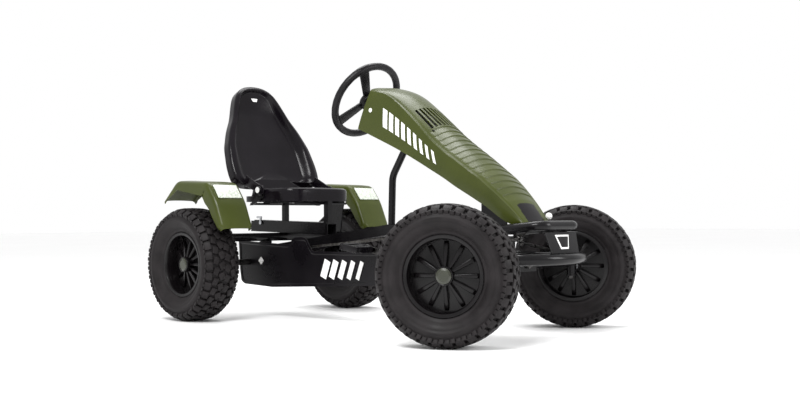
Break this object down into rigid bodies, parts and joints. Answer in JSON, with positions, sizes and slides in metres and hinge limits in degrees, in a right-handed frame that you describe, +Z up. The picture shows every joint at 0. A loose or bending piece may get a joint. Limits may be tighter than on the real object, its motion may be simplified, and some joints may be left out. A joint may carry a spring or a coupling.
{
  "type": "pedal go kart",
  "caption": "Four-wheel pedal go kart with a tube frame, swinging front axle, chain-driven rear axle, bucket seat on a slide and a bonnet over the column.",
  "frame": {"origin": "on the ground under the middle of the whole kart", "axes": "+X forward along the kart's length, +Y to the driver's left, +Z up"},
  "size_m": [1.8557, 1.1562, 1.0297],
  "materials": {
    "frame_black": "gloss black powder coat",
    "bright_steel": "zinc plated",
    "chain_steel": "oiled dark steel",
    "olive_plastic": "moulded olive green",
    "black_plastic": "satin moulded black",
    "bush_plastic": "nylon",
    "white_plastic": "gloss white",
    "reflector_silver": "prismatic reflector",
    "tyre_rubber": "moulded tread",
    "grip_rubber": "soft grip"
  },
  "bodies": {
    "chassis": {"backbone": "frame_black", "slide_beam": "frame_black", "rear_crossbar": "frame_black", "rear_cradle": "frame_black", "rear_bearings": "bright_steel", "front_head": "frame_black", "axle_pivot_pin": "bright_steel", "crank_hanger": "frame_black", "crank_bearings": "bright_steel", "steering_post": "frame_black", "column_jacket": "frame_black", "column_bushes": "bush_plastic", "bumper_upper": "frame_black", "bumper_lower": "frame_black", "bumper_plate": "frame_black", "bonnet": "olive_plastic", "bonnet_vents": "black_plastic", "bonnet_knobs": "white_plastic", "chain_guard": "black_plastic", "guard_reflector": "white_plastic", "chain": "chain_steel", "fender_right": "olive_plastic", "fender_left": "olive_plastic", "fender_brackets": "frame_black", "fender_reflectors": "reflector_silver"},
    "front_axle": {"front_axle": "frame_black"},
    "knuckle_right": {"knuckle_right": "frame_black", "knuckle_bolts_right": "bright_steel"},
    "knuckle_left": {"knuckle_left": "frame_black", "knuckle_bolts_left": "bright_steel"},
    "tie_rod_right": {"tie_rod_right": "bright_steel"},
    "tie_rod_left": {"tie_rod_left": "bright_steel"},
    "steering": {"steering_shaft": "bright_steel", "steering_wheel": "grip_rubber", "steering_cap": "black_plastic"},
    "wheel_front_right": {"tyre_front_right": "tyre_rubber", "rim_front_right": "black_plastic", "wheel_bearings_right": "bright_steel", "hub_cap_front_right": "olive_plastic"},
    "wheel_front_left": {"tyre_front_left": "tyre_rubber", "rim_front_left": "black_plastic", "wheel_bearings_left": "bright_steel", "hub_cap_front_left": "olive_plastic"},
    "rear_drive": {"tyre_rear_right": "tyre_rubber", "tyre_rear_left": "tyre_rubber", "rim_rear_right": "black_plastic", "rim_rear_left": "black_plastic", "hub_caps_rear": "olive_plastic", "rear_axle": "bright_steel", "coaster_hub": "bright_steel", "rear_sprocket": "bright_steel"},
    "crank": {"chainring": "bright_steel", "cranks": "bright_steel"},
    "pedal_right": {"pedal_right": "black_plastic"},
    "pedal_left": {"pedal_left": "black_plastic"},
    "seat": {"seat_slide": "frame_black", "seat_base": "black_plastic", "seat_knobs": "black_plastic"},
    "seat_back": {"seat_back": "black_plastic"},
    "clamp_lever": {"seat_clamp_lever": "bright_steel"}
  },
  "joints": [
    {"name": "steering_turn", "type": "hinge", "parent": "chassis", "child": "steering", "pos_m": [-0.116, 0, 0.888], "axis": [-0.8406, 0, 0.5417], "range_deg": [-99.5, 5.5]},
    {"name": "front_axle_swing", "type": "hinge", "parent": "chassis", "child": "front_axle", "pos_m": [0.6475, 0, 0.25], "axis": [1, 0, 0], "range_deg": [-5, 5]},
    {"name": "knuckle_right_turn", "type": "hinge", "parent": "front_axle", "child": "knuckle_right", "pos_m": [0.6475, -0.321, 0.24], "axis": [0, 0, 1], "range_deg": [-58.53, 3.33]},
    {"name": "knuckle_left_turn", "type": "hinge", "parent": "front_axle", "child": "knuckle_left", "pos_m": [0.6475, 0.321, 0.24], "axis": [0, 0, 1], "range_deg": [-63.61, 3.61]},
    {"name": "tie_rod_right_swing", "type": "hinge", "parent": "knuckle_right", "child": "tie_rod_right", "pos_m": [0.5883, -0.33728, 0.2878], "axis": [0, 0, 1], "range_deg": [-3.4, 59.88]},
    {"name": "tie_rod_left_swing", "type": "hinge", "parent": "knuckle_left", "child": "tie_rod_left", "pos_m": [0.60204, 0.27974, 0.2878], "axis": [0, 0, 1], "range_deg": [-3.83, 67.52]},
    {"name": "wheel_front_right_spin", "type": "hinge", "parent": "knuckle_right", "child": "wheel_front_right", "pos_m": [0.69244, -0.40696, 0.23], "axis": [-0.4633, 0.8862, 0], "continuous": true},
    {"name": "wheel_front_left_spin", "type": "hinge", "parent": "knuckle_left", "child": "wheel_front_left", "pos_m": [0.599, 0.405, 0.23], "axis": [-0.5, 0.866, 0], "continuous": true},
    {"name": "rear_axle_spin", "type": "hinge", "parent": "chassis", "child": "rear_drive", "pos_m": [-0.7035, 0, 0.23], "axis": [0, 1, 0], "continuous": true},
    {"name": "crank_spin", "type": "hinge", "parent": "chassis", "child": "crank", "pos_m": [0.197, 0, 0.27], "axis": [0, 1, 0], "continuous": true},
    {"name": "pedal_right_spin", "type": "hinge", "parent": "crank", "child": "pedal_right", "pos_m": [0.05583, -0.217, 0.30311], "axis": [0, 1, 0], "continuous": true},
    {"name": "pedal_left_spin", "type": "hinge", "parent": "crank", "child": "pedal_left", "pos_m": [0.33817, 0.217, 0.23689], "axis": [0, 1, 0], "continuous": true},
    {"name": "seat_slide", "type": "slide", "parent": "chassis", "child": "seat", "axis": [0.9996, 0, -0.027], "range_m": [-0.16, 0]},
    {"name": "seat_recline", "type": "hinge", "parent": "seat", "child": "seat_back", "pos_m": [-0.563, 0, 0.535], "axis": [0, 1, 0], "range_deg": [-10, 8]},
    {"name": "clamp_lever_swing", "type": "hinge", "parent": "seat", "child": "clamp_lever", "pos_m": [-0.769, -0.033, 0.398], "axis": [0, 1, 0], "range_deg": [0, 90]}
  ],
  "couplings": [
    {"joint": "knuckle_right_turn", "follows": "steering_turn", "ratio": 0.5872},
    {"joint": "knuckle_left_turn", "follows": "steering_turn", "ratio": 0.6383},
    {"joint": "tie_rod_right_swing", "follows": "steering_turn", "ratio": -0.6008},
    {"joint": "tie_rod_left_swing", "follows": "steering_turn", "ratio": -0.6776},
    {"joint": "crank_spin", "follows": "rear_axle_spin", "ratio": 0.5}
  ]
}
